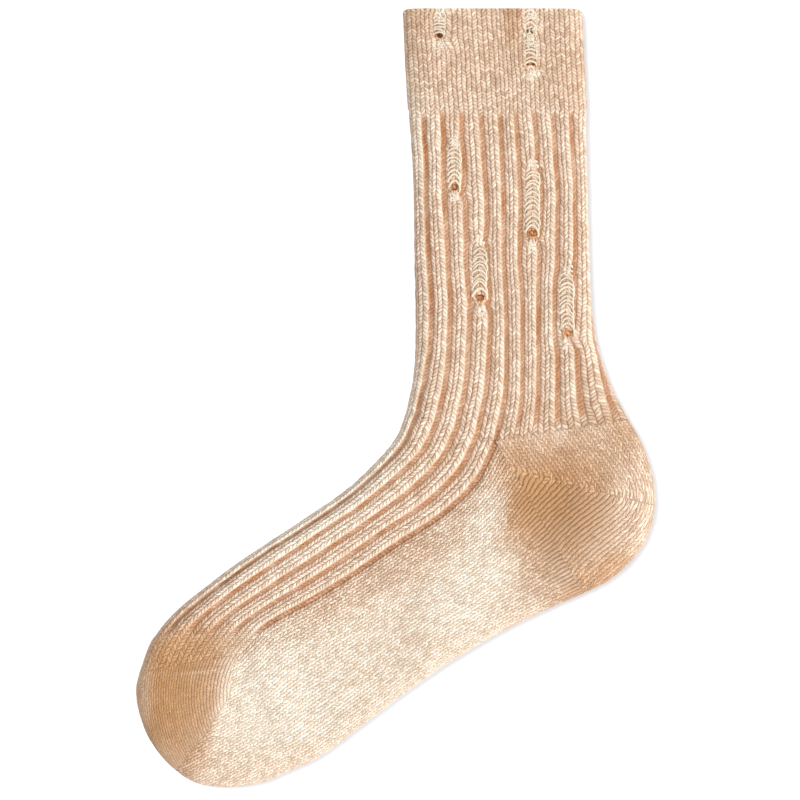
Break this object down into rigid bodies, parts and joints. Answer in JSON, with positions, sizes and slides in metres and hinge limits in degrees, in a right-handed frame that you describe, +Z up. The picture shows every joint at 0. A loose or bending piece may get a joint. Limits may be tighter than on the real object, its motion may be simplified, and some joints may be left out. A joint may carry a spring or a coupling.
{
  "type": "holey rib-knit sock laid flat",
  "caption": "Worn chunky rib-knit crew sock laid flat on its side, open at the cuff, with ladder runs in cuff and leg, a turned heel and a turned toe.",
  "frame": {"origin": "on the surface the sock lies on, under the middle of its bounding box", "axes": "+Z up from the surface, +Y along the leg towards the cuff, +X towards the heel, toe towards -X -Y"},
  "size_m": [0.218, 0.3271, 0.0147],
  "materials": {
    "knit_cream": "matte cream wool-blend knit, fuzzy, darker in the rib channels",
    "knit_tan": "matte tan worn wool-blend knit of heel and toe"
  },
  "bodies": {
    "root": {"cuff": "knit_cream", "leg": "knit_cream", "heel": "knit_tan", "foot": "knit_cream", "toe": "knit_tan"}
  },
  "joints": []
}
